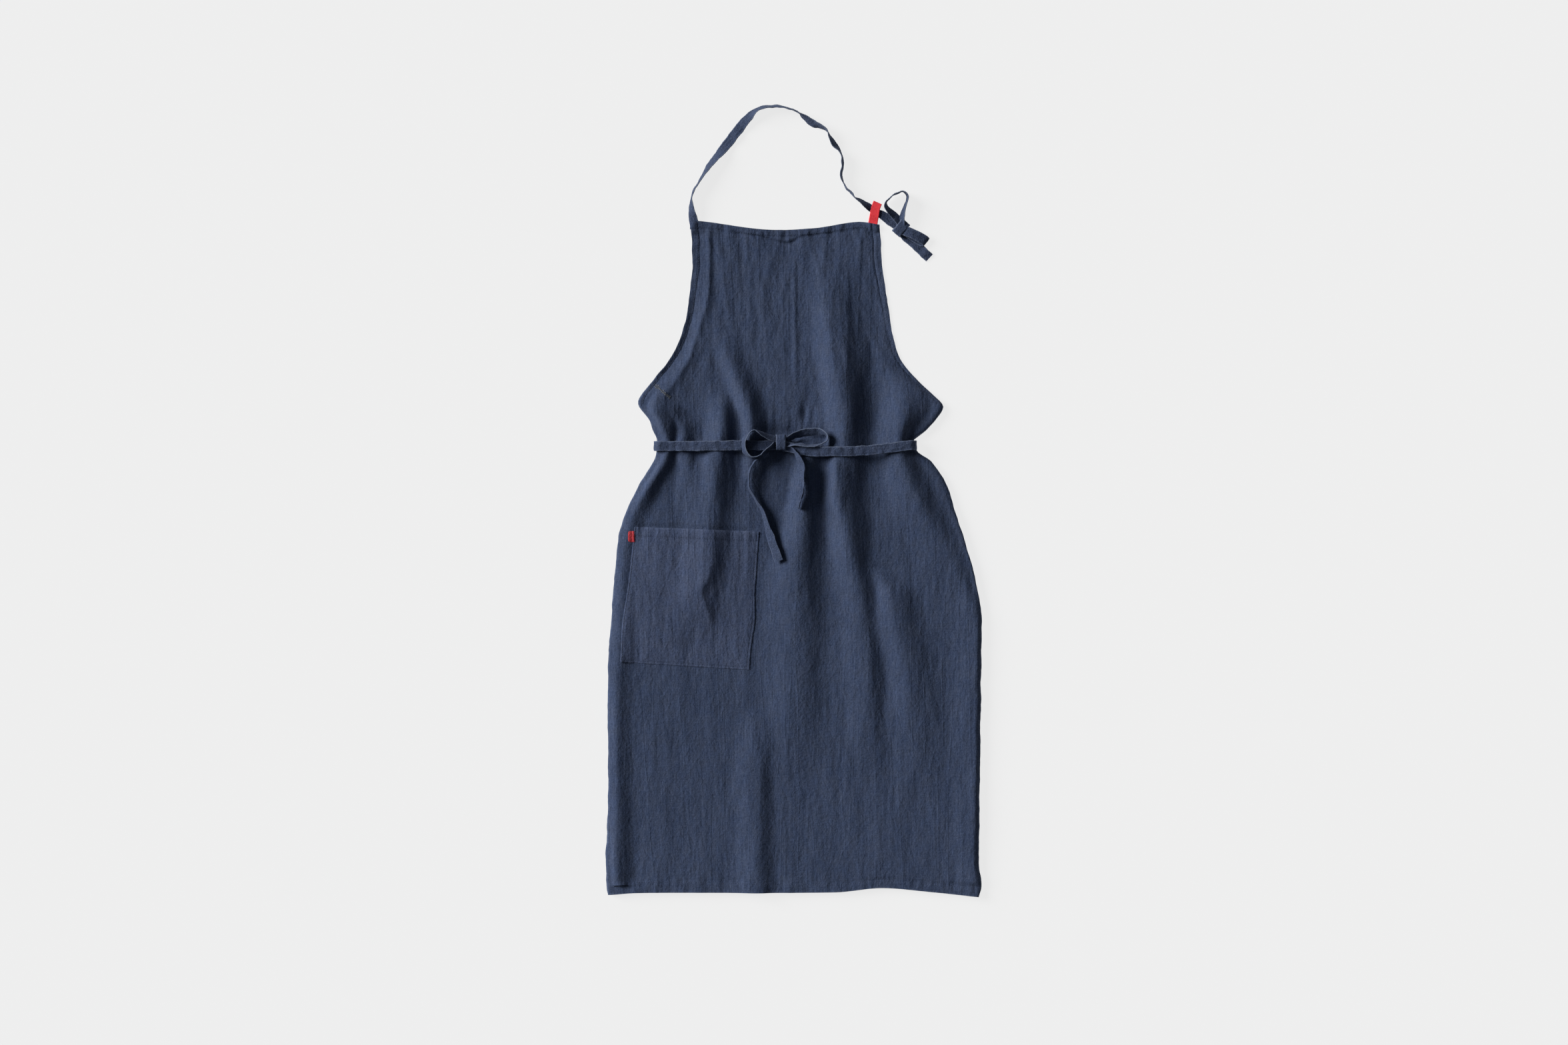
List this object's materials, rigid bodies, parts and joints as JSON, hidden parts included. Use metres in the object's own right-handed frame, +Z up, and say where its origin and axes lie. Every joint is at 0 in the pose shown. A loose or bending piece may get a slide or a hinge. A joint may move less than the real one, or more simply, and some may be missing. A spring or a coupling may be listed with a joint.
{
  "type": "long bib apron",
  "caption": "Long navy linen bib apron laid flat, with a patch pocket, a tied neck strap through a red loop, and waist ties brought round to a bow in front.",
  "frame": {"origin": "middle of the bounding box's footprint, on the surface that the apron lies on", "axes": "+Z up from the surface, +Y from the foot to the bib, +X to the right of a viewer who looks down with the bib at the top"},
  "size_m": [0.5362, 1.13, 0.0401],
  "materials": {
    "linen": "washed slubby linen, matt",
    "linen_strap": "the same linen, doubled and topstitched",
    "red_tape": "woven cotton tape, matt"
  },
  "bodies": {
    "root": {"body": "linen", "pocket": "linen", "pocket_tag": "red_tape", "neck_strap": "linen_strap", "neck_loop": "red_tape", "waist_tie_left": "linen_strap", "waist_tie_right": "linen_strap"}
  },
  "joints": []
}
